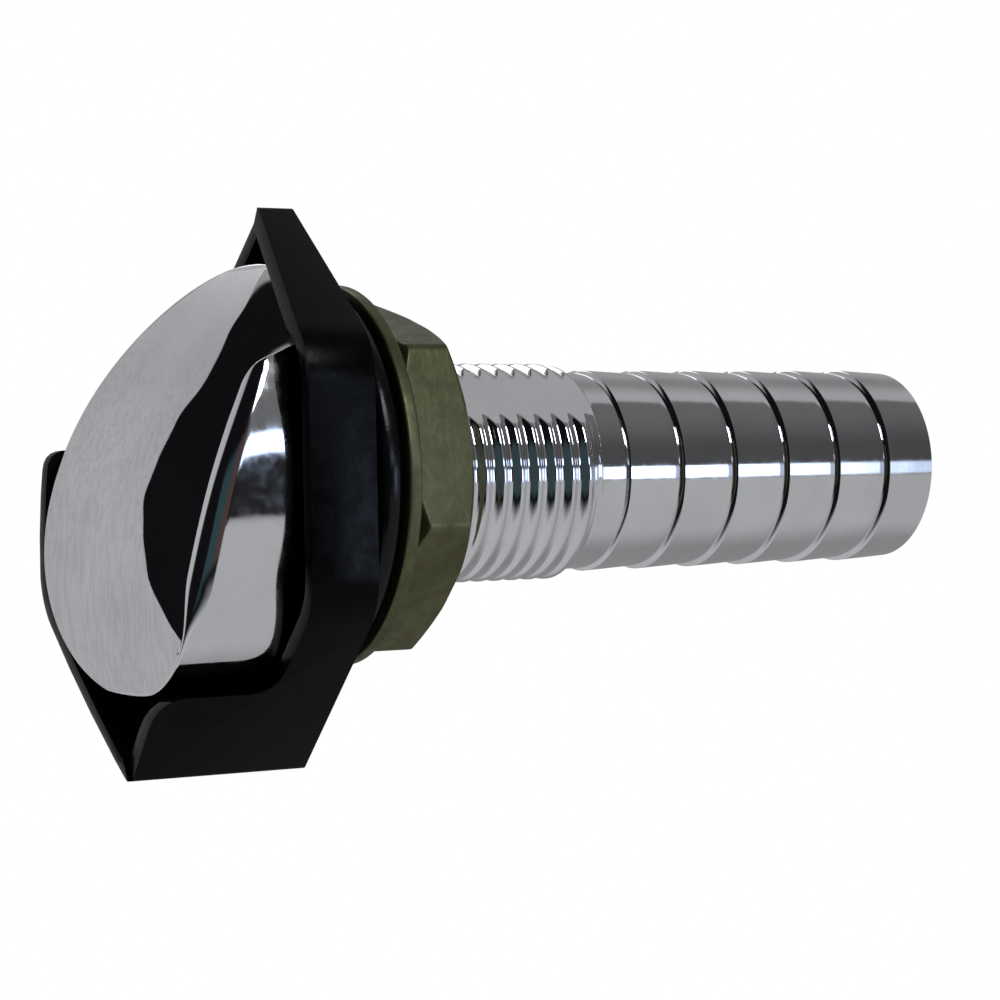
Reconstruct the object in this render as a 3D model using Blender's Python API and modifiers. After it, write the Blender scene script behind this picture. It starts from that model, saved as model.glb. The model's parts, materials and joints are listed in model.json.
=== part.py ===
"""Through-hull sea valve with a hooded push-pull cap, a lens-shaped shroud and a barbed hose tail.

Frame: the origin is on the stem axis at the hull seat, the back face of the gasket. +Y runs along the stem
towards the hose end and +Z is up. Sizes are in metres. Turned pieces are profiles of (radius, station along Y).
"""

from math import copysign, cos, pi, radians, sin, sqrt, tau

import bmesh
import bpy
from mathutils import Matrix, Vector

MM = 0.001
GAP = 0.3 * MM  # clearance between pieces that touch
SLIDE_GAP = 0.35 * MM  # clearance round a piece that slides
PAST = 2.0 * MM  # how far a cutter runs past the face it opens

# Threaded stem and hose tail
STEM_RADIUS = 10.4 * MM
STEM_END = 24.6 * MM
FLAT_DISTANCE = 9.6 * MM
FLAT_ANGLE = radians(47)
TAIL_BORE_RADIUS = 6.5 * MM
RELIEF_RADIUS = 9.6 * MM
RELIEF_LENGTH = 2.7 * MM
BARB_COUNT = 6
BARB_PITCH = 6.05 * MM
BARB_CREST_RADIUS = 9.77 * MM
BARB_ROOT_RADIUS = 9.35 * MM
BARB_STEP = 0.25 * MM
TAIL_LEAD = 0.8 * MM

# Clamp parts on the stem
GASKET_THICKNESS = 2.2 * MM
GASKET_RADIUS = 17.3 * MM
WASHER_THICKNESS = 1.3 * MM
WASHER_RADIUS = 17.6 * MM
NUT_THICKNESS = 6.2 * MM
NUT_ACROSS_FLATS = 29.1 * MM
NUT_CHAMFER = 1.2 * MM
NUT_ANGLE = radians(-17)

# Shroud
SHROUD_HALF_WIDTH = 16.8 * MM
SHROUD_TOP = 24.8 * MM
SHROUD_BOTTOM = -27.1 * MM
SHROUD_WALL = 1.5 * MM
SHOULDER_TOP = 11.3 * MM  # between these heights the shroud's sides stand upright
SHOULDER_BOTTOM = -11.4 * MM
SHOULDER_ROUND = 6.6 * MM
TIP_ROUND = 0.8 * MM
SHROUD_FLOOR = 1.8 * MM
TOP_TIP_DEPTH = 2.9 * MM  # how far the rim stands in front of the shroud's back face
NEAR_RIM_DEPTH = 6.3 * MM
FAR_RIM_DEPTH = 3.6 * MM
BOTTOM_TIP_DEPTH = 16.6 * MM
CHIN_DEPTH = 17.4 * MM
FAR_WALL_DEPTH = 18.5 * MM
FAR_WALL_BULGE = 1.4 * MM  # how far the far wall's edge bows out between the bottom tip and its top corner
NEAR_RIM_TOP = 13.0 * MM  # height where the near side's low rim begins
NEAR_CHIN_TOP = -19.0 * MM
FAR_WALL_TOP = 2.9 * MM
NOTCH_ROUND = 2.6 * MM
SEAM = 0.02 * MM  # how far the two rim cuts overlap in the middle

# Boss, seat and the parts that clamp the shroud
BOSS_RADIUS = 7.9 * MM
BOSS_BORE_RADIUS = 6.0 * MM
SEALING_WASHER_THICKNESS = 0.8 * MM
LOCK_WASHER_THICKNESS = 0.6 * MM
RING_NUT_RADIUS = 10.0 * MM
RING_NUT_THICKNESS = 1.8 * MM
RING_NUT_SLOT = 1.8 * MM
BOSS_STAND = 0.5 * MM  # bare boss between the ring nut and the seat ring
SEAT_THICKNESS = 1.0 * MM

# Hooded cap
CAP_SIDE_GAP = 1.1 * MM  # between the cap and the shroud's wall at the widest place
CAP_EDGE_GAP = 0.6 * MM  # the least there is anywhere round the cap
CAP_HALF_HEIGHT = 19.4 * MM
CAP_FULLNESS = 2.25
CAP_FLOOR_GAP = 0.4 * MM
CAP_CAVITY_RADIUS = 8.7 * MM  # round the seal
CAP_MOUTH_RADIUS = 10.4 * MM  # round the ring nut
CAP_SOCKET_DEPTH = 3.6 * MM
FACE_RADIUS = 34.0 * MM  # the front face is part of a lying cylinder
FACE_DEPTH = 17.7 * MM  # from the shroud's back face to the front of that cylinder
FACE_HEIGHT = -11.0 * MM
FACE_TURN = radians(10.4)
SCOOP_CENTRE = Vector((8.6 * MM, -12.6 * MM, 13.6 * MM))
SCOOP_HALF_SIZES = Vector((5.8 * MM, 5.6 * MM, 30.5 * MM))
SCOOP_LEAN = radians(-30)

# Plunger
ROD_RADIUS = 2.0 * MM
SEAL_THICKNESS = 1.6 * MM
SEAL_RADIUS = 8.3 * MM
RETAINER_RADIUS = 5.2 * MM
RETAINER_THICKNESS = 1.0 * MM
LOCK_NUT_ACROSS_FLATS = 6.4 * MM
LOCK_NUT_THICKNESS = 2.0 * MM
CAP_TRAVEL = 6.0 * MM
GUIDE_START = 4.4 * MM
GUIDE_LENGTH = 4.0 * MM
GUIDE_RIM = 0.9 * MM
GUIDE_HUB_RADIUS = 3.4 * MM
GUIDE_SPOKES = 3
GUIDE_SPOKE_WIDTH = 1.3 * MM
GUIDE_SHOULDER = 0.9 * MM
BUSH_WALL = 0.5 * MM
RING_THICKNESS = 0.8 * MM
RING_GROOVE_DEPTH = 0.7 * MM
STOP_RADIUS = 3.7 * MM
STOP_THICKNESS = 1.0 * MM
CLIP_RADIUS = 3.2 * MM
CLIP_THICKNESS = 0.8 * MM
CLIP_GROOVE_DEPTH = 0.6 * MM
CLIP_MOUTH = 2.2 * MM
ROD_TAIL = 1.2 * MM

# Pin that stops the cap from turning
PIN_RADIUS = 1.2 * MM
PIN_HEIGHT = -14.6 * MM
PIN_LENGTH = 12.0 * MM
PIN_BORE_SPARE = 1.0 * MM

STEPS = 48
SMALL_STEPS = 24

# Stations along Y that follow from the sizes above
SHROUD_BACK = -(GASKET_THICKNESS + GAP)
FLOOR_FRONT = SHROUD_BACK - SHROUD_FLOOR
STEM_FACE = SHROUD_BACK + GAP + SEALING_WASHER_THICKNESS + GAP
LOCK_WASHER_BACK = FLOOR_FRONT - GAP
RING_NUT_BACK = LOCK_WASHER_BACK - LOCK_WASHER_THICKNESS - GAP
RING_NUT_FRONT = RING_NUT_BACK - RING_NUT_THICKNESS
BOSS_FRONT = RING_NUT_FRONT - BOSS_STAND
SEAT_FRONT = BOSS_FRONT - GAP - SEAT_THICKNESS
SEAL_BACK = SEAT_FRONT - GAP
CAVITY_END = SEAL_BACK - SEAL_THICKNESS - GAP
CAP_BACK = FLOOR_FRONT - CAP_FLOOR_GAP
CAP_FRONT = SHROUD_BACK - FACE_DEPTH
CAP_HALF_WIDTH = SHROUD_HALF_WIDTH - SHROUD_WALL - CAP_SIDE_GAP
RETAINER_FRONT = SEAL_BACK + GAP
LOCK_NUT_FRONT = RETAINER_FRONT + RETAINER_THICKNESS + GAP
GUIDE_END = GUIDE_START + GUIDE_LENGTH
STOP_FRONT = GUIDE_END + CAP_TRAVEL + GAP
CLIP_FRONT = STOP_FRONT + STOP_THICKNESS + GAP
ROD_END = CLIP_FRONT + CLIP_THICKNESS + ROD_TAIL
WASHER_FRONT = GAP
NUT_FRONT = WASHER_FRONT + WASHER_THICKNESS + GAP
RELIEF_END = STEM_END + RELIEF_LENGTH
TAIL_END = RELIEF_END + BARB_COUNT * BARB_PITCH
BORE_STEP = GUIDE_END + GAP

CHROME = ("chrome_plated_brass", (0.80, 0.81, 0.82), 0.08, 1.0)
BRASS = ("dull_brass", (0.36, 0.33, 0.20), 0.38, 1.0)
BLACK_PLASTIC = ("black_plastic", (0.012, 0.013, 0.014), 0.35, 0.0)
RUBBER = ("black_rubber", (0.02, 0.02, 0.022), 0.55, 0.0)
STEEL = ("stainless_steel", (0.62, 0.62, 0.61), 0.25, 1.0)
WHITE_PLASTIC = ("white_acetal", (0.80, 0.80, 0.77), 0.45, 0.0)
FIBRE = ("red_fibre", (0.33, 0.06, 0.04), 0.70, 0.0)


def clear_scene():
    for obj in list(bpy.data.objects):
        bpy.data.objects.remove(obj, do_unlink=True)


def new_collection(name):
    collection = bpy.data.collections.new(name)
    bpy.context.scene.collection.children.link(collection)
    return collection


clear_scene()
PARTS = new_collection("sea_valve")
CUTTERS = new_collection("cutters")
CUTTERS.hide_render = True


def material(finish):
    name, colour, roughness, metallic = finish
    found = bpy.data.materials.get(name)
    if found:
        return found
    made = bpy.data.materials.new(name)
    made.use_nodes = True
    shader = made.node_tree.nodes["Principled BSDF"]
    shader.inputs["Base Color"].default_value = (*colour, 1.0)
    shader.inputs["Roughness"].default_value = roughness
    shader.inputs["Metallic"].default_value = metallic
    return made


def place(name, mesh, finish=None):
    """Links a mesh as a part, or as a hidden cutter when it has no finish."""
    obj = bpy.data.objects.new(name, mesh)
    if finish:
        mesh.materials.append(material(finish))
        PARTS.objects.link(obj)
    else:
        obj.hide_render = True
        obj.display_type = "WIRE"
        CUTTERS.objects.link(obj)
    return obj


def mesh_from(name, build):
    mesh = bpy.data.meshes.new(name)
    work = bmesh.new()
    build(work)
    bmesh.ops.recalc_face_normals(work, faces=work.faces)
    work.to_mesh(mesh)
    work.free()
    return mesh


def boolean(obj, cutter, operation="DIFFERENCE"):
    modifier = obj.modifiers.new(cutter.name, "BOOLEAN")
    modifier.operation = operation
    modifier.solver = "EXACT"
    modifier.object = cutter


def turned(name, profile, finish=None, steps=STEPS):
    """A full turn of a closed profile about Y. The profile runs down its outer side from the hose end."""
    mesh = bpy.data.meshes.new(name)
    points = [(radius, 0.0, station) for radius, station in profile]
    edges = [(i, (i + 1) % len(points)) for i in range(len(points))]
    mesh.from_pydata(points, edges, [])
    obj = place(name, mesh, finish)
    obj.rotation_euler = (-pi / 2, 0.0, 0.0)
    screw = obj.modifiers.new("turn", "SCREW")
    screw.axis = "Z"
    screw.angle = tau
    screw.steps = steps
    screw.render_steps = steps
    screw.use_merge_vertices = True
    screw.merge_threshold = 0.00001
    screw.use_smooth_shade = finish is not None
    return obj


def ring(name, inner, outer, front, back, finish=None, steps=STEPS):
    profile = [(outer, back), (outer, front), (inner, front), (inner, back)]
    return turned(name, profile, finish, steps)


def rod(name, radius, front, back, finish=None, steps=SMALL_STEPS, centre=(0.0, 0.0)):
    """A solid cylinder along Y from front to back, its axis at centre (X, Z)."""
    middle = Matrix.Translation((centre[0], (front + back) / 2, centre[1]))
    turn = Matrix.Rotation(-pi / 2, 4, "X")

    def build(work):
        bmesh.ops.create_cone(
            work,
            cap_ends=True,
            segments=steps,
            radius1=radius,
            radius2=radius,
            depth=back - front,
            matrix=middle @ turn,
        )

    return place(name, mesh_from(name, build), finish)


def block(name, size, centre, turn=None):
    """A box cutter of the given size, turned about its own centre."""
    place_at = Matrix.Translation(centre) @ (turn or Matrix.Identity(4)) @ Matrix.Diagonal((*size, 1.0))
    return place(name, mesh_from(name, lambda work: bmesh.ops.create_cube(work, size=1.0, matrix=place_at)))


def prism(name, outline, direction, finish=None):
    """A flat outline of 3-D points, extruded along a direction."""

    def build(work):
        face = work.faces.new([work.verts.new(point) for point in outline])
        grown = bmesh.ops.extrude_face_region(work, geom=[face])
        moved = [item for item in grown["geom"] if isinstance(item, bmesh.types.BMVert)]
        bmesh.ops.translate(work, verts=moved, vec=direction)

    return place(name, mesh_from(name, build), finish)


def arc(centre, radius, start, end, count):
    return [
        (centre[0] + radius * cos(start + (end - start) * i / count), centre[1] + radius * sin(start + (end - start) * i / count))
        for i in range(count + 1)
    ]


def oval(half_width, half_height, fullness, count):
    """An outline in X and Z with |x|^n + |z|^n = 1."""
    points = []
    for i in range(count):
        across, along = cos(tau * i / count), sin(tau * i / count)
        x = copysign(abs(across) ** (2 / fullness), across) * half_width
        z = copysign(abs(along) ** (2 / fullness), along) * half_height
        points.append(Vector((x, z)))
    return points


def drawn_in(outline, distance):
    """The outline moved inwards by distance, each point along the bisector of its corner."""
    moved = []
    for i, point in enumerate(outline):
        before, after = outline[i - 1], outline[(i + 1) % len(outline)]
        along = [(point - before).normalized(), (after - point).normalized()]
        inwards = [Vector((-side.y, side.x)) for side in along]
        middle = (inwards[0] + inwards[1]).normalized()
        moved.append(point + middle * distance / middle.dot(inwards[0]))
    return moved


def shroud_outline(shrink=0.0):
    """Six sides: blunt tips at the top and bottom, upright sides between rounded shoulders."""
    width, high, low = SHROUD_HALF_WIDTH, SHOULDER_TOP, SHOULDER_BOTTOM
    corners = [(width, low), (width, high), (0.0, SHROUD_TOP), (-width, high), (-width, low), (0.0, SHROUD_BOTTOM)]
    corners = drawn_in([Vector(corner) for corner in corners], shrink)
    outline = []
    for i, corner in enumerate(corners):
        before, after = corners[i - 1], corners[(i + 1) % len(corners)]
        radius = TIP_ROUND if i % 3 == 2 else SHOULDER_ROUND - shrink
        outline += rounded_path([(before + corner) / 2, corner, (corner + after) / 2], radius, 8)[1:-1]
    return outline


def bowed(start, end, bulge, count=8):
    """Points from start to end on a curve whose middle stands off the straight line by bulge, to its right."""
    start, end = Vector(start), Vector(end)
    along = (end - start).normalized()
    aside = Vector((along.y, -along.x)) * bulge
    steps = [i / count for i in range(count + 1)]
    return [tuple(start.lerp(end, t) + aside * 4 * t * (1 - t)) for t in steps]


def rounded_path(points, radius, count=5):
    """The path through points with each inner corner rounded."""
    path = [points[0]]
    for before, corner, after in zip(points, points[1:], points[2:]):
        corner = Vector(corner)
        back, ahead = Vector(before) - corner, Vector(after) - corner
        half = back.angle(ahead) / 2
        if half > radians(80):
            path.append(tuple(corner))
            continue
        reach = min(radius, 0.45 * min(back.length, ahead.length) * abs(sin(half) / cos(half)))
        trim = reach * cos(half) / sin(half)
        start, end = corner + back.normalized() * trim, corner + ahead.normalized() * trim
        for i in range(count + 1):
            t = i / count
            path.append(tuple(start.lerp(corner, t).lerp(corner.lerp(end, t), t)))
    path.append(points[-1])
    return path


def make_valve_body():
    barbs = []
    for i in range(BARB_COUNT):
        front = RELIEF_END + i * BARB_PITCH
        barbs += [(BARB_ROOT_RADIUS, front), (BARB_CREST_RADIUS, front + BARB_STEP)]
    outer = [(STEM_RADIUS, STEM_FACE), (STEM_RADIUS, STEM_END), (RELIEF_RADIUS, STEM_END), (RELIEF_RADIUS, RELIEF_END)]
    outer += barbs
    outer += [(BARB_ROOT_RADIUS, TAIL_END - TAIL_LEAD), (BARB_ROOT_RADIUS - TAIL_LEAD / 2, TAIL_END)]
    shoulder = BOSS_BORE_RADIUS - GUIDE_SHOULDER
    bore = [
        (BOSS_BORE_RADIUS, BOSS_FRONT),
        (BOSS_BORE_RADIUS, BORE_STEP),
        (shoulder, BORE_STEP),
        (shoulder, ROD_END + PAST),
        (TAIL_BORE_RADIUS, ROD_END + 2 * PAST),
        (TAIL_BORE_RADIUS, TAIL_END),
    ]
    outer = [(BOSS_RADIUS, BOSS_FRONT), (BOSS_RADIUS, STEM_FACE)] + outer
    body = turned("valve_body", outer[::-1] + bore, CHROME)
    groove_back = GUIDE_START - GAP
    ring_out = BOSS_BORE_RADIUS + RING_GROOVE_DEPTH
    groove = rod("guide_ring_groove", ring_out, groove_back - RING_THICKNESS - 2 * GAP, groove_back + GAP / 2, steps=STEPS)
    boolean(body, groove)
    normal = Vector((cos(FLAT_ANGLE), 0.0, sin(FLAT_ANGLE)))
    side = STEM_RADIUS
    flat_from = NUT_FRONT + NUT_THICKNESS / 2
    centre = normal * (FLAT_DISTANCE + side / 2) + Vector((0.0, (flat_from + STEM_END) / 2, 0.0))
    turn = Matrix.Rotation(-FLAT_ANGLE, 4, "Y")
    boolean(body, block("thread_flat", (side, STEM_END - flat_from, 2 * side), centre, turn))


def make_clamp_parts():
    inner = STEM_RADIUS + SLIDE_GAP
    edge = GASKET_THICKNESS / 4
    gasket = [
        (GASKET_RADIUS - edge, 0.0),
        (GASKET_RADIUS, -edge),
        (GASKET_RADIUS, edge - GASKET_THICKNESS),
        (GASKET_RADIUS - edge, -GASKET_THICKNESS),
        (inner, -GASKET_THICKNESS),
        (inner, 0.0),
    ]
    turned("hull_gasket", gasket, RUBBER)
    ring("backing_washer", inner, WASHER_RADIUS, WASHER_FRONT, WASHER_FRONT + WASHER_THICKNESS, BRASS)
    hexagon("hex_nut", NUT_ACROSS_FLATS, NUT_FRONT, NUT_THICKNESS, inner, NUT_CHAMFER, BRASS, NUT_ANGLE)


def hexagon(name, across_flats, front, thickness, bore, chamfer, finish, angle=0.0):
    """A hexagon nut on the Y axis with its outer corners chamfered at both faces. One corner is at angle."""
    corner = across_flats / sqrt(3)
    outline = [
        (corner * cos(angle + i * tau / 6), front, corner * sin(angle + i * tau / 6)) for i in range(6)
    ]
    nut = prism(name, outline, (0.0, thickness, 0.0), finish)
    low, high = front - PAST, front + thickness + PAST
    flare = 2.0 * (PAST + chamfer)
    profile = [
        (corner + chamfer - flare, high),
        (corner + chamfer, front + thickness - chamfer),
        (corner + chamfer, front + chamfer),
        (corner + chamfer - flare, low),
        (bore, low),
        (bore, high),
    ]
    steps = STEPS if across_flats > 10 * MM else SMALL_STEPS
    boolean(nut, turned(name + "_envelope", profile, steps=steps), "INTERSECT")


def make_shroud():
    outline = [(x, SHROUD_BACK, z) for x, z in shroud_outline()]
    front = SHROUD_BACK - FAR_WALL_DEPTH - FAR_WALL_BULGE - PAST
    shroud = prism("shroud", outline, (0.0, front - SHROUD_BACK, 0.0), BLACK_PLASTIC)
    inside = [(x, FLOOR_FRONT, z) for x, z in shroud_outline(SHROUD_WALL)]
    boolean(shroud, prism("shroud_pocket", inside, (0.0, front - PAST - FLOOR_FRONT, 0.0)))
    boolean(shroud, rod("shroud_hole", BOSS_RADIUS + GAP, FLOOR_FRONT - PAST, SHROUD_BACK + PAST, steps=STEPS))
    pin_hole = rod("pin_hole", PIN_RADIUS + GAP, FLOOR_FRONT - PAST, SHROUD_BACK + PAST, centre=(0.0, PIN_HEIGHT))
    boolean(shroud, pin_hole)
    near_low, far_low = SHROUD_BACK - NEAR_RIM_DEPTH, SHROUD_BACK - FAR_RIM_DEPTH
    tip_top = (SHROUD_BACK - TOP_TIP_DEPTH, SHROUD_TOP + PAST)
    tip_bottom = (SHROUD_BACK - BOTTOM_TIP_DEPTH, SHROUD_BOTTOM - PAST)
    chin = (SHROUD_BACK - CHIN_DEPTH, NEAR_CHIN_TOP)
    wall_top = (SHROUD_BACK - FAR_WALL_DEPTH, FAR_WALL_TOP)
    near = [tip_top, (near_low, NEAR_RIM_TOP), (near_low, NEAR_CHIN_TOP), chin, tip_bottom]
    far = [tip_top, (far_low, FAR_WALL_TOP)] + bowed(wall_top, tip_bottom, FAR_WALL_BULGE)
    ahead = front - 3 * PAST
    for name, path, reach in (("near_rim_cut", near, 1.0), ("far_rim_cut", far, -1.0)):
        side = rounded_path(path, NOTCH_ROUND)
        side += [(ahead, path[-1][1]), (ahead, path[0][1])]
        points = [(-reach * SEAM, y, z) for y, z in side]
        boolean(shroud, prism(name, points, (reach * 2 * SHROUD_HALF_WIDTH, 0.0, 0.0)))


def make_shroud_clamp():
    hole = BOSS_RADIUS + GAP
    washer_front = SHROUD_BACK + GAP
    ring(
        "body_sealing_washer", hole, STEM_RADIUS - GAP, washer_front, washer_front + SEALING_WASHER_THICKNESS, FIBRE
    )
    ring("shroud_lock_washer", hole, RING_NUT_RADIUS, LOCK_WASHER_BACK - LOCK_WASHER_THICKNESS, LOCK_WASHER_BACK, STEEL)
    nut = ring("shroud_ring_nut", hole, RING_NUT_RADIUS, RING_NUT_FRONT, RING_NUT_BACK, BRASS)
    slot_size = (3 * RING_NUT_RADIUS, RING_NUT_THICKNESS, RING_NUT_SLOT)
    boolean(nut, block("ring_nut_slot", slot_size, (0.0, RING_NUT_FRONT, 0.0)))
    ring("valve_seat", BOSS_BORE_RADIUS, BOSS_RADIUS, SEAT_FRONT, BOSS_FRONT - GAP, STEEL)


def make_cap():
    count = 56
    outline = [
        (x, CAP_BACK, z) for x, z in oval(CAP_HALF_WIDTH, CAP_HALF_HEIGHT, CAP_FULLNESS, count)
    ]
    cap = prism("hooded_cap", outline, (0.0, CAP_FRONT - PAST - CAP_BACK, 0.0), CHROME)

    turn = Matrix.Rotation(FACE_TURN, 4, "Z") @ Matrix.Rotation(pi / 2, 4, "Y")
    axis_at = Matrix.Translation((0.0, CAP_FRONT + FACE_RADIUS / cos(FACE_TURN), FACE_HEIGHT))

    def face(work):
        bmesh.ops.create_cone(
            work,
            cap_ends=True,
            segments=180,
            radius1=FACE_RADIUS,
            radius2=FACE_RADIUS,
            depth=4 * SHROUD_HALF_WIDTH,
            matrix=axis_at @ turn,
        )

    boolean(cap, place("cap_face", mesh_from("cap_face", face)), "INTERSECT")
    inside = [(x, CAP_BACK + PAST, z) for x, z in shroud_outline(SHROUD_WALL + CAP_EDGE_GAP)]
    limit = prism("cap_limit", inside, (0.0, CAP_FRONT - 2 * PAST - CAP_BACK, 0.0))
    boolean(cap, limit, "INTERSECT")

    def scoop(work):
        lean = Matrix.Rotation(SCOOP_LEAN, 4, "X")
        stretch = Matrix.Diagonal((*SCOOP_HALF_SIZES, 1.0))
        shape = Matrix.Translation(SCOOP_CENTRE) @ lean @ stretch
        bmesh.ops.create_uvsphere(work, u_segments=36, v_segments=24, radius=1.0, matrix=shape)

    boolean(cap, place("cap_scoop", mesh_from("cap_scoop", scoop)))
    boolean(cap, rod("cap_cavity", CAP_CAVITY_RADIUS, CAVITY_END, CAP_BACK + PAST, steps=STEPS))
    boolean(cap, rod("cap_mouth", CAP_MOUTH_RADIUS, RING_NUT_FRONT - 2 * GAP, CAP_BACK + PAST, steps=STEPS))
    socket_end = CAVITY_END - CAP_SOCKET_DEPTH
    boolean(cap, rod("cap_socket", ROD_RADIUS + GAP, socket_end, CAVITY_END + PAST))
    pin_front = SHROUD_BACK - PIN_LENGTH - PIN_BORE_SPARE
    pin_bore = rod("cap_pin_bore", PIN_RADIUS + SLIDE_GAP, pin_front, CAP_BACK + PAST, centre=(0.0, PIN_HEIGHT))
    boolean(cap, pin_bore)
    rod("anti_turn_pin", PIN_RADIUS, SHROUD_BACK - PIN_LENGTH, SHROUD_BACK, STEEL, centre=(0.0, PIN_HEIGHT))


def make_plunger():
    fit = ROD_RADIUS + GAP
    groove = ROD_RADIUS - CLIP_GROOVE_DEPTH
    front = CAVITY_END - CAP_SOCKET_DEPTH + GAP
    profile = [
        (0.0, ROD_END),
        (ROD_RADIUS, ROD_END),
        (ROD_RADIUS, CLIP_FRONT + CLIP_THICKNESS + GAP),
        (groove, CLIP_FRONT + CLIP_THICKNESS + GAP),
        (groove, CLIP_FRONT - GAP),
        (ROD_RADIUS, CLIP_FRONT - GAP),
        (ROD_RADIUS, front),
        (0.0, front),
    ]
    turned("plunger_rod", profile, STEEL, SMALL_STEPS)
    ring("seal_washer", fit, SEAL_RADIUS, SEAL_BACK - SEAL_THICKNESS, SEAL_BACK, RUBBER)
    ring("seal_retainer", fit, RETAINER_RADIUS, RETAINER_FRONT, RETAINER_FRONT + RETAINER_THICKNESS, STEEL, SMALL_STEPS)
    hexagon("rod_lock_nut", LOCK_NUT_ACROSS_FLATS, LOCK_NUT_FRONT, LOCK_NUT_THICKNESS, fit, 0.3 * MM, STEEL)
    ring("stop_washer", fit, STOP_RADIUS, STOP_FRONT, STOP_FRONT + STOP_THICKNESS, STEEL, SMALL_STEPS)
    clip = ring("stop_clip", groove + GAP, CLIP_RADIUS, CLIP_FRONT, CLIP_FRONT + CLIP_THICKNESS, STEEL, SMALL_STEPS)
    mouth_size = (CLIP_MOUTH, 2 * CLIP_THICKNESS, CLIP_RADIUS + PAST)
    mouth_at = (0.0, CLIP_FRONT + CLIP_THICKNESS / 2, (CLIP_RADIUS + PAST) / 2)
    boolean(clip, block("clip_mouth", mouth_size, mouth_at))


def make_guide():
    outer = BOSS_BORE_RADIUS - GAP
    bush_inner = ROD_RADIUS + SLIDE_GAP
    hub_bore = bush_inner + BUSH_WALL + GAP
    guide = ring("rod_guide", hub_bore, outer, GUIDE_START, GUIDE_END, WHITE_PLASTIC)
    middle = (GUIDE_HUB_RADIUS + outer - GUIDE_RIM) / 2
    half_turn = tau / GUIDE_SPOKES
    for i in range(GUIDE_SPOKES):
        reach = half_turn / 2 - GUIDE_SPOKE_WIDTH / (2 * middle)
        mid_angle = half_turn * (i + 0.5)
        inside = arc((0.0, 0.0), GUIDE_HUB_RADIUS, mid_angle - reach, mid_angle + reach, 6)
        outside = arc((0.0, 0.0), outer - GUIDE_RIM, mid_angle + reach, mid_angle - reach, 8)
        points = [(x, GUIDE_START - PAST, z) for x, z in inside + outside]
        window = prism(f"guide_window_{i + 1}", points, (0.0, GUIDE_LENGTH + 2 * PAST, 0.0))
        boolean(guide, window)
    ring("guide_bush", bush_inner, hub_bore - GAP, GUIDE_START, GUIDE_END, BRASS, SMALL_STEPS)
    back = GUIDE_START - GAP
    outer_ring = BOSS_BORE_RADIUS + RING_GROOVE_DEPTH - GAP
    snap = ring(
        "guide_retaining_ring", BOSS_BORE_RADIUS - 2 * GAP, outer_ring, back - RING_THICKNESS, back, STEEL
    )
    mouth_size = (CLIP_MOUTH, 2 * RING_THICKNESS, outer_ring + PAST)
    boolean(snap, block("ring_mouth", mouth_size, (0.0, back - RING_THICKNESS / 2, (outer_ring + PAST) / 2)))


make_valve_body()
make_clamp_parts()
make_shroud()
make_shroud_clamp()
make_cap()
make_plunger()
make_guide()
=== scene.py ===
import json
from math import atan2, cos, hypot, pi, radians, sin, tau

import bmesh
import bpy
from mathutils import Matrix, Vector


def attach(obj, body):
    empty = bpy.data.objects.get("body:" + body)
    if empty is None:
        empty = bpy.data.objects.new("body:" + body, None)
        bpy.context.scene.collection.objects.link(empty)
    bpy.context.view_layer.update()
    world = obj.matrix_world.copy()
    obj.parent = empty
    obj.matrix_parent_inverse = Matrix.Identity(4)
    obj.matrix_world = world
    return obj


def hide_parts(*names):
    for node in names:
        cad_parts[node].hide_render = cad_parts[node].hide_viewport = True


MM = 0.001

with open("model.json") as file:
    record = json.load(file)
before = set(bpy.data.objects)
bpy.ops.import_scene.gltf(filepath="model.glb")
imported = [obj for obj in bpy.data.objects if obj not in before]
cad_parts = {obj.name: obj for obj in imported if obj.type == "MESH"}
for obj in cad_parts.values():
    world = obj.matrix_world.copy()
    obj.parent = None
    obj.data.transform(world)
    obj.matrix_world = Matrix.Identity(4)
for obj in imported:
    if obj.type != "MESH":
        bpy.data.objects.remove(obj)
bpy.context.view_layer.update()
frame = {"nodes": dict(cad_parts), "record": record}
scene = bpy.context.scene

# ---------------------------------------------------------------- meshes


def smooth_step(value):
    """0 below 0, 1 above 1, and an eased step between."""
    value = min(max(value, 0.0), 1.0)
    return value * value * (3 - 2 * value)


def blend_max(a, b, width):
    """The larger of two values, eased over width where they meet."""
    t = min(max((a - b) / width + 0.5, 0.0), 1.0)
    return b + (a - b) * t + width * t * (1 - t) / 2


def finish_mesh(name, work, crease=38):
    """A new object from a bmesh of millimetres, smooth except along edges sharper than crease degrees."""
    bmesh.ops.scale(work, vec=(MM, MM, MM), verts=work.verts)
    bmesh.ops.recalc_face_normals(work, faces=work.faces)
    for face in work.faces:
        face.smooth = True
    for edge in work.edges:
        edge.smooth = edge.calc_face_angle(0.0) < radians(crease)
    mesh = bpy.data.meshes.new(name)
    work.to_mesh(mesh)
    work.free()
    obj = bpy.data.objects.new(name, mesh)
    scene.collection.objects.link(obj)
    return obj


def spun(profile, steps, radius_at=None):
    """A closed (radius, station) profile spun about Y; radius_at(radius, station, angle) may move its points."""
    work = bmesh.new()
    verts = [work.verts.new((radius, station, 0.0)) for radius, station in profile]
    edges = [work.edges.new((verts[i - 1], verts[i])) for i in range(len(verts))]
    around_y = {"cent": (0, 0, 0), "axis": (0, -1, 0), "angle": tau}
    bmesh.ops.spin(work, geom=verts + edges, steps=steps, use_merge=True, **around_y)
    for vert in work.verts if radius_at else ():
        radius, angle = hypot(vert.co.x, vert.co.z), atan2(vert.co.z, vert.co.x)
        radius = radius_at(radius, vert.co.y, angle)
        vert.co = (radius * cos(angle), vert.co.y, radius * sin(angle))
    return work


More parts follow.
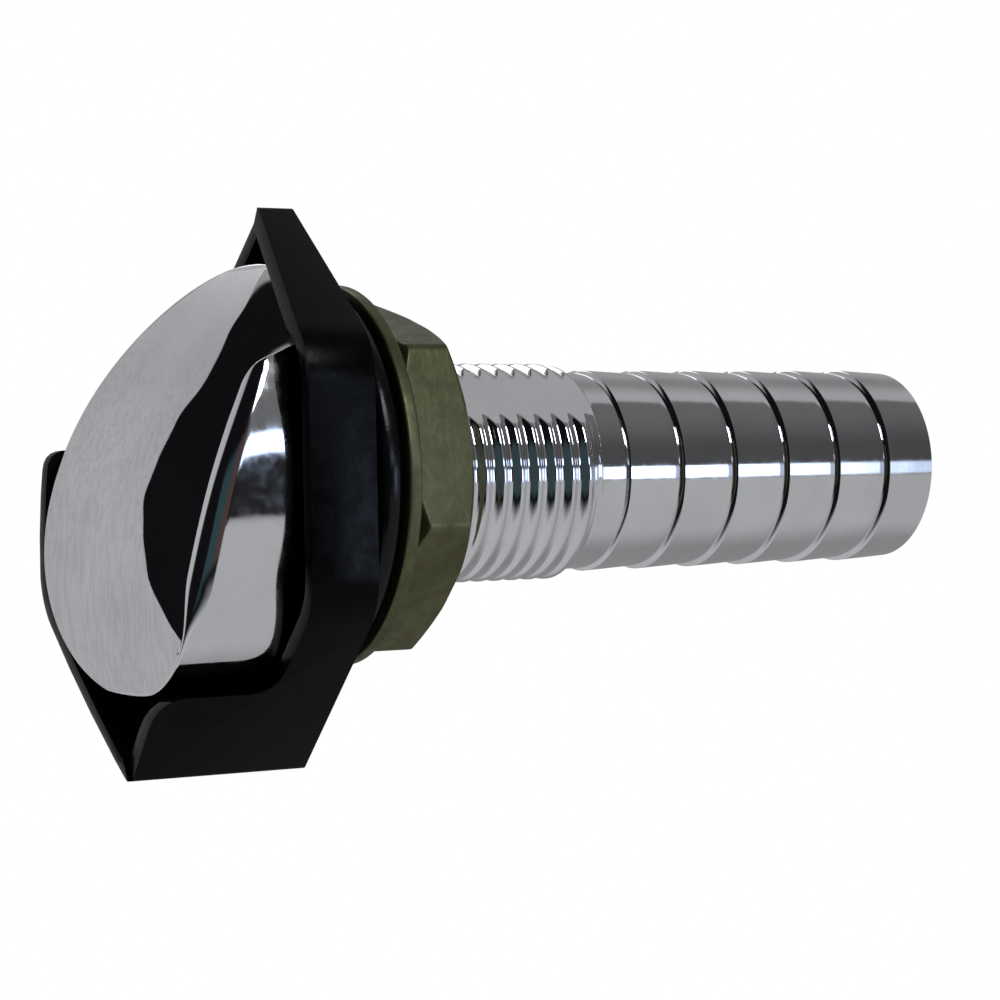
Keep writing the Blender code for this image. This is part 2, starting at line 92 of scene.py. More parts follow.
def eased(profile, radius, count):
    """A closed (radius, station) profile with every corner rounded."""
    out = []
    for i, corner in enumerate(profile):
        corner = Vector(corner)
        back, ahead = Vector(profile[i - 1]) - corner, Vector(profile[(i + 1) % len(profile)]) - corner
        reach = min(radius, 0.45 * back.length, 0.45 * ahead.length)
        start, end = corner + back.normalized() * reach, corner + ahead.normalized() * reach
        for k in range(count + 1):
            t = k / count
            out.append(tuple(start.lerp(corner, t).lerp(corner.lerp(end, t), t)))
    return out


# ---------------------------------------------------------------- stem and hose tail

PITCH = 1.814
THREAD_DEPTH = 0.42
THREAD_FADE, FADE_DROP = 0.9, 0.7
STEPS_A_PITCH = 14
STEM_RADIUS = 10.38
STEM_FACE, STEM_END, RELIEF_END, TAIL_END = -1.1, 24.6, 27.3, 63.6
FLAT_DISTANCE, FLAT_ANGLE, FLAT_FROM = 9.6, radians(47), 5.0
RELIEF_RADIUS = 9.5
BARBS, BARB_PITCH, BARB_ROOT, BARB_CREST, BARB_FALL = 6, 6.05, 9.35, 9.76, 0.31
BOSS_RADIUS, BOSS_FRONT = 7.9, -7.8
GUIDE_RADIUS, GUIDE_BACK = 6.0, 8.7
GROOVE_RADIUS, GROOVE_FRONT, GROOVE_BACK = 6.7, 2.7, 4.25
WATERWAY_RADIUS, WATERWAY_END = 5.1, 20.1
TAIL_BORE, TAIL_BORE_FROM = 6.5, 22.2


def thread_radius(radius, station, angle):
    """The stem's radius with its right-hand thread and the flat cut along one side."""
    if radius < STEM_RADIUS - 0.01 or not STEM_FACE < station < STEM_END:
        return radius
    phase = (station / PITCH + angle / tau) % 1.0
    rise = smooth_step(1.25 * abs(2 * phase - 1) - 0.1)
    fade = min((station - STEM_FACE) / THREAD_FADE, (STEM_END - station) / THREAD_FADE, 1.0)
    radius = STEM_RADIUS - THREAD_DEPTH * rise - FADE_DROP * (1 - fade)
    lean = cos(angle - FLAT_ANGLE)
    if station > FLAT_FROM and lean > 0.5:
        radius = min(radius, FLAT_DISTANCE / lean)
    return radius


def stem_outside():
    """The threaded length, the relief and the hose barbs, from the stem's face to its end."""
    length = STEM_END - STEM_FACE
    steps = round(length / (PITCH / STEPS_A_PITCH))
    out = [(STEM_RADIUS, STEM_FACE + 0.02)]
    out += [(STEM_RADIUS, STEM_FACE + length * i / steps) for i in range(1, steps)]
    out += [(RELIEF_RADIUS + 0.05, STEM_END), (RELIEF_RADIUS + 0.02, STEM_END + 0.3)]
    out += [(RELIEF_RADIUS, RELIEF_END - 0.4), (RELIEF_RADIUS - 0.04, RELIEF_END - 0.1)]
    for i in range(BARBS):
        front = RELIEF_END + i * BARB_PITCH
        out += [(BARB_ROOT, front), (BARB_ROOT + 0.06, front + 0.04), (BARB_CREST - 0.1, front + 0.14)]
        out += [(BARB_CREST, front + 0.25), (BARB_CREST - 0.01, front + 0.4)]
        for t in (0.3, 0.6, 0.9, 1.0):
            out.append((BARB_CREST - BARB_FALL * t, front + 0.4 + (BARB_PITCH - 0.75) * t))
    out += [(BARB_ROOT, TAIL_END - 0.85), (BARB_ROOT - 0.12, TAIL_END - 0.5)]
    out += [(BARB_ROOT - 0.4, TAIL_END - 0.08), (BARB_ROOT - 0.55, TAIL_END)]
    return out


def stem_inside():
    """The bore, from the hose end back to the boss at the front."""
    return [
        (TAIL_BORE + 0.25, TAIL_END),
        (TAIL_BORE + 0.02, TAIL_END - 0.2),
        (TAIL_BORE, TAIL_END - 0.5),
        (TAIL_BORE, TAIL_BORE_FROM),
        (TAIL_BORE - 0.1, TAIL_BORE_FROM - 0.2),
        (WATERWAY_RADIUS, WATERWAY_END),
        (WATERWAY_RADIUS, WATERWAY_END - 0.1),
        (WATERWAY_RADIUS, GUIDE_BACK),
        (GUIDE_RADIUS, GUIDE_BACK),
        (GUIDE_RADIUS, GROOVE_BACK),
        (GROOVE_RADIUS, GROOVE_BACK),
        (GROOVE_RADIUS, GROOVE_FRONT),
        (GUIDE_RADIUS, GROOVE_FRONT),
        (GUIDE_RADIUS, BOSS_FRONT),
        (BOSS_RADIUS, BOSS_FRONT),
        (BOSS_RADIUS, STEM_FACE),
    ]


def make_stem():
    stem = finish_mesh("stem_fine", spun(stem_outside() + stem_inside(), 192, thread_radius), 34)
    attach(stem, "stem")
    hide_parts("valve_body")
    return stem


# ---------------------------------------------------------------- hooded cap

CAP_HALF_WIDTH, CAP_HALF_HEIGHT, CAP_FULLNESS, CAP_BACK = 14.2, 19.4, 2.25, -4.7
EDGE_ROUND, RIDGE_ROUND = 0.4, 1.9
FACE_FRONT, FACE_LEAN_UP, FACE_LEAN_ASIDE, FACE_BOW = -18.42, 0.323, 0.184, 0.01474
RUN_OUT_DEPTH = 5.0
SOCKET_FLOOR, SOCKET_STEP = -12.2, 3.5


def edge_across(z):
    """Half the cap's width at height z."""
    part = max(0.0, 1 - (abs(z) / CAP_HALF_HEIGHT) ** CAP_FULLNESS)
    return CAP_HALF_WIDTH * part ** (1 / CAP_FULLNESS)


def ridge_round(z):
    """The rounding of the cap's near edge, wide where the scoop leaves a ridge."""
    beside_scoop = smooth_step((z + 15) / 7) * (1 - smooth_step((z - 8) / 3))
    return EDGE_ROUND + (RIDGE_ROUND - EDGE_ROUND) * beside_scoop


def edge_towards(way):
    """The cap's outline in a direction from its middle."""
    part = (abs(way.x) / CAP_HALF_WIDTH) ** CAP_FULLNESS + (abs(way.y) / CAP_HALF_HEIGHT) ** CAP_FULLNESS
    return way * part ** (-1 / CAP_FULLNESS)


def cap_face(x, z):
    """The bowed front face before the scoop is cut. It leans back upwards and towards the scoop."""
    return FACE_FRONT + FACE_LEAN_UP * z + FACE_LEAN_ASIDE * x + FACE_BOW * z * z


def along_curve(value, knots):
    """A smooth curve through (value, result) knots."""
    if value <= knots[0][0]:
        return knots[0][1]
    for i in range(len(knots) - 1):
        (a, fa), (b, fb) = knots[i], knots[i + 1]
        if value <= b:
            before, after = knots[max(i - 1, 0)], knots[min(i + 2, len(knots) - 1)]
            slope_a = (fb - before[1]) / (b - before[0])
            slope_b = (after[1] - fa) / (after[0] - a)
            t, h = (value - a) / (b - a), b - a
            return (
                (2 * t**3 - 3 * t**2 + 1) * fa
                + (t**3 - 2 * t**2 + t) * h * slope_a
                + (3 * t**2 - 2 * t**3) * fb
                + (t**3 - t**2) * h * slope_b
            )
    return knots[-1][1]


SCOOP_LOW, SCOOP_HIGH = -15.2, 18.6
SCOOP_EDGE = (
    (SCOOP_LOW, 11.4),
    (-12.5, 8.4),
    (-10.0, 6.2),
    (-5.0, 3.5),
    (0.0, 2.7),
    (5.0, 3.9),
    (9.4, 5.4),
    (14.0, 4.6),
    (18.7, 3.2),
)
SCOOP_DEPTH = (
    (SCOOP_LOW, 0.0),
    (-12.0, 1.5),
    (-6.0, 2.9),
    (0.0, 3.4),
    (5.0, 3.3),
    (9.0, 2.7),
    (14.0, 1.6),
    (SCOOP_HIGH, 0.2),
)
# the cap's skirt and socket behind its brim, as (radius, station)
CAP_BACK_STEPS = ((10.4, CAP_BACK), (10.4, -7.9), (8.7, -7.9), (8.7, -11.3), (2.3, -11.3), (2.3, -14.9))


def scoop_left(z, reach):
    """Where the finger scoop begins at height z, kept inside reach."""
    wavy = 0.16 * sin(z * 0.9) + 0.08 * sin(z * 1.7 + 1)
    return min(along_curve(z, SCOOP_EDGE) + wavy, reach * 0.97)


def cap_front(x, z, across):
    """The cap's front surface. across runs from 0 at the scoop's edge to 1 at the cap's side."""
    y = cap_face(x, z)
    if across > 0 and SCOOP_LOW < z < SCOOP_HIGH:
        # trough is 0 at both edges and 1 at its deepest; run_out opens the scoop to the side near its top
        trough = 2.23 * across**1.1 * max(1 - across, 0.0) ** 0.35
        run_out = RUN_OUT_DEPTH * smooth_step((z - 9.2) / 4.0) * (1 - smooth_step((z - 13.0) / 5.5))
        y += along_curve(z, SCOOP_DEPTH) * trough + run_out * across**1.4
    # the scoop stays in front of the socket behind it, which is deepest near the middle
    out = hypot(x, z)
    steps = smooth_step((out - 9.2) / 0.8) + smooth_step((out - 11.0) / 0.8)
    floor = SOCKET_FLOOR + SOCKET_STEP * steps
    return -blend_max(-y, -floor, 0.5)


def cap_front_net(rows, face_columns, scoop_columns):
    """The front, as a grid with one row of points for each height and a column along the scoop's edge."""
    work = bmesh.new()
    brushed = work.verts.layers.float.new("brushed")
    columns = face_columns + scoop_columns
    bmesh.ops.create_grid(work, x_segments=columns, y_segments=rows, size=1.0)
    top = (CAP_HALF_HEIGHT - EDGE_ROUND) * 0.994
    for vert in work.verts:
        i, j = round((vert.co.x + 1) / 2 * columns), round((vert.co.y + 1) / 2 * rows)
        z = -top * cos(pi * j / rows)
        reach, far = edge_across(z) - ridge_round(z), EDGE_ROUND - edge_across(z)
        left = scoop_left(z, reach)
        across = (i - face_columns) / scoop_columns
        if across <= 0:
            x = left + (far - left) * -across * scoop_columns / face_columns
        else:
            x = left + (reach - left) * across
        vert.co = (x, cap_front(x, z, across), z)
        vert[brushed] = 1.0 if across <= 0 or not SCOOP_LOW < z < SCOOP_HIGH else 0.0
    return work, brushed


def make_cap():
    work, brushed = cap_front_net(180, 90, 120)
    rim = [edge for edge in work.edges if edge.is_boundary]
    ways = {vert: Vector((vert.co.x, vert.co.z)).normalized() for edge in rim for vert in edge.verts}
    inner = {vert: vert.co.copy() for vert in ways}

    def draw_back(place):
        """Extrudes the rim, and puts each new point where place(front point, way outwards) says."""
        nonlocal rim, ways, inner
        made = bmesh.ops.extrude_edge_only(work, edges=rim)["geom"]
        fresh = [item for item in made if isinstance(item, bmesh.types.BMVert)]
        came_from = {}
        for vert in fresh:
            came_from[vert] = next(e.other_vert(vert) for e in vert.link_edges if e.other_vert(vert) in ways)
        ways = {vert: ways[old] for vert, old in came_from.items()}
        inner = {vert: inner[old] for vert, old in came_from.items()}
        rim = [item for item in made if isinstance(item, bmesh.types.BMEdge) and item.is_boundary]
        for vert in fresh:
            vert.co = place(inner[vert], ways[vert])
            vert[brushed] = 0.0

    def rounded(lean):
        """Places on the edge's round, from the front at lean 0 to the cap's side at a quarter turn."""

        def place(front, way):
            start, edge = Vector((front.x, front.z)), edge_towards(way)
            at = start.lerp(edge, sin(lean))
            drop = min((edge - start).length, RIDGE_ROUND) * (1 - cos(lean))
            return (at.x, min(front.y + drop, CAP_BACK - 0.1), at.y)

        return place

    for turn in range(1, 13):
        draw_back(rounded(pi / 2 * turn / 12))
    inner = {vert: vert.co.copy() for vert in ways}
    for step in (0.25, 0.5, 0.75, 1.0):
        draw_back(lambda at, way, step=step: (at.x, at.y + (CAP_BACK - at.y) * step, at.z))
    for radius, station in CAP_BACK_STEPS:
        draw_back(lambda at, way, r=radius, y=station: (r * way.x, y, r * way.y))
    bmesh.ops.holes_fill(work, edges=rim, sides=0)
    bmesh.ops.triangulate(work, faces=[face for face in work.faces if len(face.verts) > 4])
    cap = finish_mesh("cap_fine", work, 50)
    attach(cap, "cap")
    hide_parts("hooded_cap")
    return cap


# ---------------------------------------------------------------- shroud, gasket, washer and nut


SHROUD_HALF_WIDTH, SHROUD_TOP, SHROUD_BOTTOM, SHROUD_BACK = 16.8, 24.8, -27.1, -2.5
SHOULDER_TOP, SHOULDER_BOTTOM = 11.3, -11.4
RIM_ROUND, EDGE_BREAK = 1.2, 0.2


def inside_shroud(point):
    """How far a point in metres lies inside the shroud's outer sides, in millimetres."""
    x, z = abs(point.x) / MM, point.z / MM
    distances = [SHROUD_HALF_WIDTH - x]
    for tip, shoulder in ((SHROUD_TOP, SHOULDER_TOP), (SHROUD_BOTTOM, SHOULDER_BOTTOM)):
        along = Vector((-SHROUD_HALF_WIDTH, tip - shoulder))
        gap = Vector((x - SHROUD_HALF_WIDTH, z - shoulder))
        if abs(z) > abs(shoulder):
            distances.append(abs(along.x * gap.y - along.y * gap.x) / along.length)
    return min(distances)


def bevel(work, edges, offset, segments):
    """A round of offset millimetres on a mesh in metres."""
    bmesh.ops.bevel(
        work,
        geom=edges,
        offset=offset * MM,
        offset_type="OFFSET",
        affect="EDGES",
        segments=segments,
        profile=0.5,
        material=-1,
        clamp_overlap=True,
    )


def sharp_edges(work, degrees):
    return [e for e in work.edges if len(e.link_faces) == 2 and e.calc_face_angle(0.0) > radians(degrees)]


def make_shroud():
    """The CAD shroud with its rim rounded and its other edges broken."""
    work = bmesh.new()
    work.from_mesh(frame["nodes"]["shroud"].data)
    bmesh.ops.remove_doubles(work, verts=work.verts, dist=0.00001)
    bmesh.ops.dissolve_limit(work, angle_limit=radians(1.5), verts=work.verts, edges=work.edges)
    rim = []
    for edge in sharp_edges(work, 50):
        middle = (edge.verts[0].co + edge.verts[1].co) / 2
        along = (edge.verts[0].co - edge.verts[1].co).normalized()
        upright = abs(along.y) > 0.9 and abs(middle.x) < 1 * MM
        if middle.y < (SHROUD_BACK - 0.5) * MM and inside_shroud(middle) < 0.9 and not upright:
            rim.append(edge)
    bevel(work, rim, RIM_ROUND, 4)
    bevel(work, sharp_edges(work, 50), EDGE_BREAK, 3)
    bmesh.ops.scale(work, vec=(1 / MM, 1 / MM, 1 / MM), verts=work.verts)
    shroud = finish_mesh("shroud_fine", work, 32)
    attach(shroud, "stem")
    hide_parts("shroud")
    return shroud


def ring(name, outer, inner, front, back, rounding, count):
    """A flat ring about Y with rounded corners."""
    corners = [(outer, back), (outer, front), (inner, front), (inner, back)]
    return finish_mesh(name, spun(eased(corners, rounding, count), 160))


def make_gasket():
    gasket = ring("gasket_fine", outer=17.3, inner=10.75, front=-2.18, back=-0.02, rounding=0.95, count=6)
    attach(gasket, "stem")
    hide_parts("hull_gasket")
    return gasket


def make_washer():
    washer = ring("washer_fine", outer=17.58, inner=10.78, front=0.32, back=1.58, rounding=0.28, count=4)
    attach(washer, "washer")
    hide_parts("backing_washer")
    return washer


NUT_HALF, NUT_ANGLE, NUT_FROM, NUT_TO = 14.53, radians(-17), 1.92, 8.08
NUT_FACE_RADIUS, NUT_BORE_RADIUS, NUT_BORE_CHAMFER = 14.2, 10.8, 0.6
CHAMFER_CONE, CONE_SLOPE = 14.75, 1.75
OVER_HEXAGON = 20.0


def nut_radius(radius, station, angle):
    """A hexagon with rounded corners, its faces chamfered by a cone."""
    if radius < NUT_BORE_RADIUS + 1.2:
        return radius
    turned = (angle - NUT_ANGLE) % (pi / 3) - pi / 6
    flat = NUT_HALF / cos(turned)
    corner = NUT_HALF / cos(pi / 6) - 0.16
    flat = -blend_max(-flat, -corner, 0.12)
    cone = CHAMFER_CONE + CONE_SLOPE * min(station - NUT_FROM, NUT_TO - station)
    return min(-blend_max(-flat, -cone, 0.35), radius)


def make_nut():
    near_face = [0.0, 0.05, 0.12] + [0.12 + 0.09 * i for i in range(1, 16)] + [1.8, 2.4]
    stations = [NUT_FROM + d for d in near_face] + [(NUT_FROM + NUT_TO) / 2]
    stations += [NUT_TO - d for d in reversed(near_face)]
    chamfered = NUT_BORE_RADIUS + NUT_BORE_CHAMFER
    profile = [(NUT_FACE_RADIUS, NUT_FROM)] + [(OVER_HEXAGON, station) for station in stations]
    profile += [(NUT_FACE_RADIUS, NUT_TO), (chamfered, NUT_TO), (NUT_BORE_RADIUS, NUT_TO - NUT_BORE_CHAMFER)]
    profile += [(NUT_BORE_RADIUS, NUT_FROM + NUT_BORE_CHAMFER), (chamfered, NUT_FROM)]
    nut = finish_mesh("nut_fine", spun(profile, 360, nut_radius), 42)
    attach(nut, "nut")
    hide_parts("hex_nut")
    return nut


# ---------------------------------------------------------------- shader groups


class Net:
    """Short calls for laying out nodes in one tree."""

    def __init__(self, tree):
        self.tree = tree

    def node(self, kind, values=(), **settings):
        made = self.tree.nodes.new(kind)
        for name, value in settings.items():
            setattr(made, name, value)
        for name, value in dict(values).items():
            self.put(made.inputs[name], value)
        return made

    def put(self, socket, value):
        if isinstance(value, bpy.types.NodeSocket):
            self.tree.links.new(value, socket)
        else:
            socket.default_value = value

    def math(self, operation, a, b=0.0):
        return self.node("ShaderNodeMath", {0: a, 1: b}, operation=operation).outputs[0]

    def times(self, *values):
        product = values[0]
        for value in values[1:]:
            product = self.math("MULTIPLY", product, value)
        return product

    def ramp(self, value, low, high, to_low=0.0, to_high=1.0):
        """An eased step from to_low at low to to_high at high."""
        values = {"Value": value, "From Min": low, "From Max": high, "To Min": to_low, "To Max": to_high}
        return self.node("ShaderNodeMapRange", values, interpolation_type="SMOOTHSTEP").outputs[0]

    def noise(self, vector, scale, detail=2.0, rough=0.5):
        values = {"Vector": vector, "Scale": scale, "Detail": detail, "Roughness": rough, "Distortion": 0.0}
        return self.node("ShaderNodeTexNoise", values).outputs[0]

    def stretch(self, vector, scale, turn):
        return self.node("ShaderNodeMapping", {"Vector": vector, "Scale": scale, "Rotation": turn}).outputs[0]

    def mix(self, amount, a, b):
        """Colour a where amount is 0 and colour b where it is 1."""
        made = self.node("ShaderNodeMix", data_type="RGBA")
        for socket, value in ((made.inputs[0], amount), (made.inputs[6], a), (made.inputs[7], b)):
            self.put(socket, value)
        return made.outputs[2]


def make_group(name, inputs, outputs, lay):
    """A node group whose nodes lay(net, entry) makes; it returns what each output shows."""
    tree = bpy.data.node_groups.new(name, "ShaderNodeTree")
    for title, kind in inputs:
        tree.interface.new_socket(name=title, in_out="INPUT", socket_type=kind)
    for title, kind in outputs:
        tree.interface.new_socket(name=title, in_out="OUTPUT", socket_type=kind)
    net = Net(tree)
    entry, leave = tree.nodes.new("NodeGroupInput"), tree.nodes.new("NodeGroupOutput")
    for title, value in lay(net, entry).items():
        net.put(leave.inputs[title], value)
    return tree


FLOAT, VECTOR = "NodeSocketFloat", "NodeSocketVector"


def lay_blotches(net, entry):
    """Uneven plating or patina, in wide clouds and small grains."""
    place = entry.outputs["Place"]
    wide = net.noise(place, 90.0, 4.0, 0.6)
    small = net.noise(place, 700.0, 3.0, 0.6)
    return {"Wide": net.ramp(wide, 0.35, 0.65), "Small": net.ramp(small, 0.3, 0.7)}


def lay_scratches(net, entry):
    """Fine polishing lines that run mostly up and down, and a few pits."""
    place = entry.outputs["Place"]
    fine = net.noise(net.stretch(place, (900.0, 900.0, 90.0), (0.35, 0.0, 0.2)), 3.0, 2.0, 0.6)
    cross = net.noise(net.stretch(place, (120.0, 120.0, 1400.0), (-0.3, 0.0, 0.4)), 2.0, 2.0, 0.6)
    both = net.math("ADD", net.ramp(fine, 0.35, 0.65), net.times(net.ramp(cross, 0.55, 0.7), 0.4))
    cells = net.node("ShaderNodeTexVoronoi", {"Vector": place, "Scale": 420.0}).outputs[0]
    pick = net.noise(place, 260.0, 1.0)
    speck = net.times(net.ramp(cells, 0.10, 0.04), net.ramp(pick, 0.60, 0.66))
    return {"Lines": both, "Specks": speck}


place_in = [("Place", VECTOR)]
blotches = make_group("blotches", place_in, [("Wide", FLOAT), ("Small", FLOAT)], lay_blotches)
scratches = make_group("scratches", place_in, [("Lines", FLOAT), ("Specks", FLOAT)], lay_scratches)

# ---------------------------------------------------------------- materials


class Look(Net):
    """One material, with its shader and the shared groups at hand."""

    def __init__(self, name, **values):
        self.material = bpy.data.materials.new(name)
        self.material.use_nodes = True
        super().__init__(self.material.node_tree)
        self.shader = self.tree.nodes["Principled BSDF"]
        self.place = self.node("ShaderNodeTexCoord").outputs["Object"]
        for title, value in values.items():
            self.set(title.replace("_", " "), value)

    def set(self, title, value):
        self.put(self.shader.inputs[title], value)

    def group(self, tree):
        made = self.tree.nodes.new("ShaderNodeGroup")
        made.node_tree = tree
        self.put(made.inputs["Place"], self.place)
        return made.outputs

    def bump(self, height, strength, distance):
        values = {"Height": height, "Strength": strength, "Distance": distance}
        self.set("Normal", self.node("ShaderNodeBump", values).outputs[0])


def chrome_look(name, brushed=False):
    """Chrome plate. With brushed, it is matt and lined where the mesh's brushed attribute is 1."""
    look = Look(name, Metallic=1.0)
    marks, spots = look.group(scratches), look.group(blotches)
    tone = look.mix(spots["Wide"], (0.80, 0.81, 0.83, 1.0), (0.73, 0.74, 0.76, 1.0))
    rough = look.ramp(spots["Small"], 0.0, 1.0, 0.05, 0.10)
    ripple = look.times(spots["Wide"], 0.25)
    if brushed:
        face = look.node("ShaderNodeAttribute", attribute_name="brushed").outputs["Fac"]
        matte = look.ramp(marks["Lines"], 0.0, 1.2, 0.30, 0.42)
        keep = look.math("SUBTRACT", 1.0, face)
        rough = look.math("ADD", look.times(rough, keep), look.times(matte, face))
        tone = look.mix(look.times(marks["Specks"], face), tone, (0.22, 0.21, 0.2, 1.0))
        lines = look.times(marks["Lines"], face, 0.5)
        look.bump(look.math("ADD", ripple, lines), 0.12, 0.00004)
    else:
        lines = look.times(marks["Lines"], 0.08)
        look.bump(look.math("ADD", ripple, lines), 0.10, 0.00005)
    look.set("Base Color", tone)
    look.set("Roughness", rough)
    return look.material


def brass_look(name):
    look = Look(name, Metallic=0.85)
    spots, marks = look.group(blotches), look.group(scratches)
    tone = look.mix(spots["Wide"], (0.125, 0.125, 0.062, 1.0), (0.165, 0.165, 0.090, 1.0))
    tone = look.mix(look.times(spots["Small"], 0.35), tone, (0.07, 0.065, 0.035, 1.0))
    look.set("Base Color", tone)
    look.set("Roughness", look.ramp(spots["Small"], 0.0, 1.0, 0.38, 0.52))
    look.bump(look.math("ADD", look.times(marks["Lines"], 0.4), spots["Small"]), 0.18, 0.00006)
    return look.material


def plain_look(name, low, high, roughness, **values):
    """One finish that clouds between two colours. values are set on the shader, such as Metallic."""
    look = Look(name, **values)
    spots = look.group(blotches)
    look.set("Base Color", look.mix(spots["Wide"], (*low, 1.0), (*high, 1.0)))
    look.set("Roughness", look.ramp(spots["Small"], 0.0, 1.0, roughness - 0.05, roughness + 0.05))
    look.bump(spots["Small"], 0.15, 0.00005)
    return look.material


plastic_black = (0.0015, 0.0016, 0.0015), (0.003, 0.003, 0.003)
rubber_black = (0.002, 0.002, 0.002), (0.003, 0.003, 0.004)
steel_grey = (0.58, 0.58, 0.57), (0.66, 0.66, 0.65)
acetal_white = (0.74, 0.74, 0.70), (0.80, 0.80, 0.77)
fibre_red = (0.26, 0.05, 0.03), (0.36, 0.08, 0.05)
looks = {
    "chrome": chrome_look("chrome_plate"),
    "dull_brass": brass_look("tarnished_brass"),
    "black_plastic": plain_look("satin_black", *plastic_black, 0.26, Specular_IOR_Level=0.07),
    "black_rubber": plain_look("glossy_rubber", *rubber_black, 0.2, Specular_IOR_Level=0.25),
    "stainless": plain_look("turned_steel", *steel_grey, 0.26, Metallic=1.0),
    "white_plastic": plain_look("white_acetal", *acetal_white, 0.42),
    "red_fibre": plain_look("red_fibre_sheet", *fibre_red, 0.68),
}
cap_chrome = chrome_look("brushed_and_polished_chrome", brushed=True)
slot_of = {item["node"]: item["material_slot"] for item in frame["record"]["subparts"]}


def dress(obj, material):
    obj.data.materials.clear()
    obj.data.materials.append(material)


for node, obj in frame["nodes"].items():
    dress(obj, looks[slot_of[node]])
for obj, slot in (
    (make_stem(), "chrome"),
    (make_shroud(), "black_plastic"),
    (make_gasket(), "black_rubber"),
    (make_washer(), "dull_brass"),
    (make_nut(), "dull_brass"),
):
    dress(obj, looks[slot])
dress(make_cap(), cap_chrome)

# ---------------------------------------------------------------- camera, backdrop and light

camera = bpy.data.objects.new("camera", bpy.data.cameras.new("camera"))
camera.data.lens, camera.data.sensor_width = 93.6, 36.0
right, up = Vector((0.4796, 0.8772, -0.0204)), Vector((0.0, 0.0232, 0.9997))
ahead = Vector((-0.8775, 0.4795, -0.0111))
stand = Vector((0.2187, -0.1008, 0.0001))
camera.matrix_world = Matrix.Translation(stand) @ Matrix((right, up, -ahead)).transposed().to_4x4()
scene.collection.objects.link(camera)
scene.camera = camera


def make_backdrop(distance, side):
    """A plain glowing white sheet behind the object, seen only by the camera."""
    work = bmesh.new()
    bmesh.ops.create_grid(work, x_segments=1, y_segments=1, size=0.5 / MM)
    panel = finish_mesh("backdrop", work)
    turn = (-ahead).to_track_quat("Z", "Y")
    panel.matrix_world = Matrix.LocRotScale(ahead * distance, turn, Vector((side, side, 1.0)))
    material = bpy.data.materials.new("backdrop")
    material.use_nodes = True
    net = Net(material.node_tree)
    net.tree.nodes.clear()
    glow = net.node("ShaderNodeEmission", {"Color": (1.0, 1.0, 1.0, 1.0), "Strength": 1.0})
    net.put(net.node("ShaderNodeOutputMaterial").inputs[0], glow.outputs[0])
    panel.data.materials.append(material)
    panel.visible_glossy = panel.visible_diffuse = panel.visible_shadow = False


make_backdrop(1.2, 3.0)

world = bpy.data.worlds.new("studio")
scene.world = world
world.use_nodes = True
net = Net(world.node_tree)
way = net.node("ShaderNodeTexCoord").outputs["Generated"]
parts = net.node("ShaderNodeSeparateXYZ", {0: way}).outputs
across, along, height = parts[0], parts[1], parts[2]


def grey(value):
    return (value, value, value * 1.01, 1.0)


# the room is laid out by direction: across is +X, the near side; along is +Y, towards the hose end
ground = net.mix(net.ramp(across, -0.35, 0.25), grey(0.27), grey(0.46))
ceiling = net.mix(net.ramp(across, -0.45, -0.12), grey(0.26), grey(0.42))
ceiling = net.mix(net.ramp(across, -0.50, -0.70), ceiling, grey(0.34))
ceiling = net.mix(net.ramp(across, 0.0, 0.2), ceiling, grey(0.16))
rear = net.mix(net.ramp(height, -0.20, -0.10), ground, ceiling)
fore = net.mix(net.ramp(height, 0.35, 0.80), grey(0.50), grey(0.34))
room = net.mix(net.ramp(along, 0.15, -0.15), rear, fore)

WINDOW = (3.0, 3.6, 4.8, 1.0)
near_side = net.ramp(across, -0.03, 0.06)
window_reach = net.times(near_side, net.ramp(along, 0.12, 0.25), net.ramp(along, 0.62, 0.72, 1.0, 0.12))


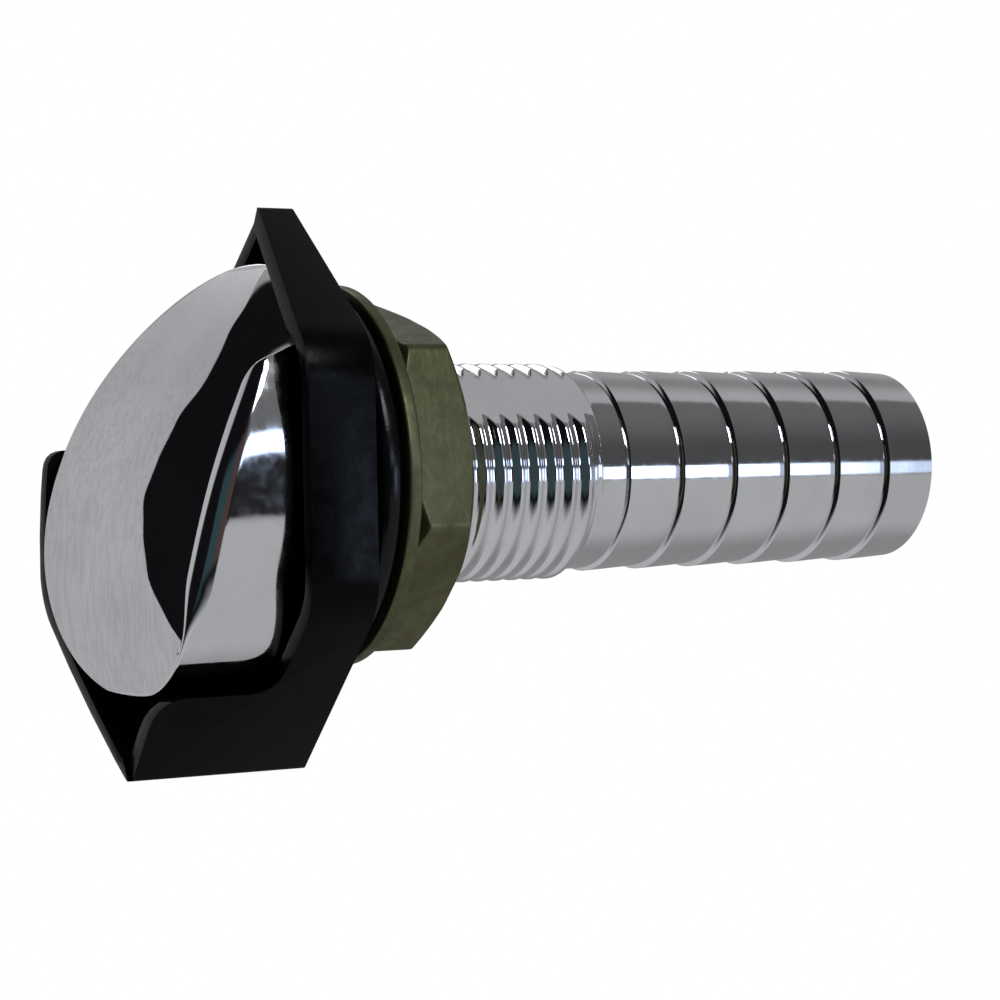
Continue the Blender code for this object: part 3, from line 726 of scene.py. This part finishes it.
def bands(low, dark_low, dark_high, hot_low, hot_high, night):
    """The room with a dark wall and a bright window at these heights."""
    wall = net.times(net.ramp(height, dark_low - 0.03, dark_low), net.ramp(height, dark_high + 0.08, dark_high))
    glass = net.times(net.ramp(height, hot_low - 0.04, hot_low), net.ramp(height, hot_high + 0.04, hot_high))
    shaded = net.mix(net.times(wall, near_side), low, night)
    return net.mix(net.times(glass, window_reach), shaded, WINDOW)


hose_dusk = net.mix(net.ramp(height, 0.3, 0.8), grey(0.075), grey(0.15))
beside_cap = bands(room, -0.15, 0.07, 0.12, 0.18, grey(0.016))
beside_hose = bands(room, 0.08, 0.90, -0.12, 0.02, hose_dusk)
room = net.mix(net.ramp(along, 0.445, 0.475), beside_cap, beside_hose)

# a dark quarter in front, which the scoop shows, with two coloured strips for its ridge
aside = net.times(net.ramp(across, -0.48, -0.32), net.ramp(along, 0.16, 0.02), net.ramp(height, -0.75, -0.45))
room = net.mix(aside, room, (0.006, 0.006, 0.007, 1.0))
TEAL, RUSSET = (0.032, 0.062, 0.070, 1.0), (0.08, 0.05, 0.047, 1.0)
level = net.ramp(net.math("ABSOLUTE", height), 0.45, 0.30)
for low, high, tint in ((-0.75, -0.35, TEAL), (-0.28, 0.05, RUSSET)):
    stripe = net.times(net.ramp(along, low - 0.10, low), net.ramp(along, high + 0.06, high), level)
    room = net.mix(net.times(stripe, net.ramp(across, 0.3, 0.5)), room, tint)

seen = net.node("ShaderNodeLightPath").outputs["Is Camera Ray"]
room = net.mix(seen, room, (1.0, 1.0, 1.0, 1.0))
net.put(net.tree.nodes["Background"].inputs["Color"], room)
net.put(net.tree.nodes["Background"].inputs["Strength"], 1.0)


def soft_light(name, centre, size, power, colour=(1.0, 1.0, 1.0)):
    """A square lamp that looks at the middle of the object."""
    lamp = bpy.data.objects.new(name, bpy.data.lights.new(name, "AREA"))
    lamp.data.size, lamp.data.energy, lamp.data.color = size, power, colour
    lamp.location = centre
    lamp.rotation_euler = (Vector((0.0, 0.01, 0.0)) - Vector(centre)).to_track_quat("-Z", "Y").to_euler()
    scene.collection.objects.link(lamp)


soft_light("window", (0.55, 0.10, 0.42), 0.22, 1.2, (0.93, 0.97, 1.0))
soft_light("overhead", (-0.50, 0.07, 0.50), 0.35, 0.5)

scene.view_settings.view_transform = "Standard"
scene.view_settings.look = "None"
scene.view_settings.exposure = 0.0
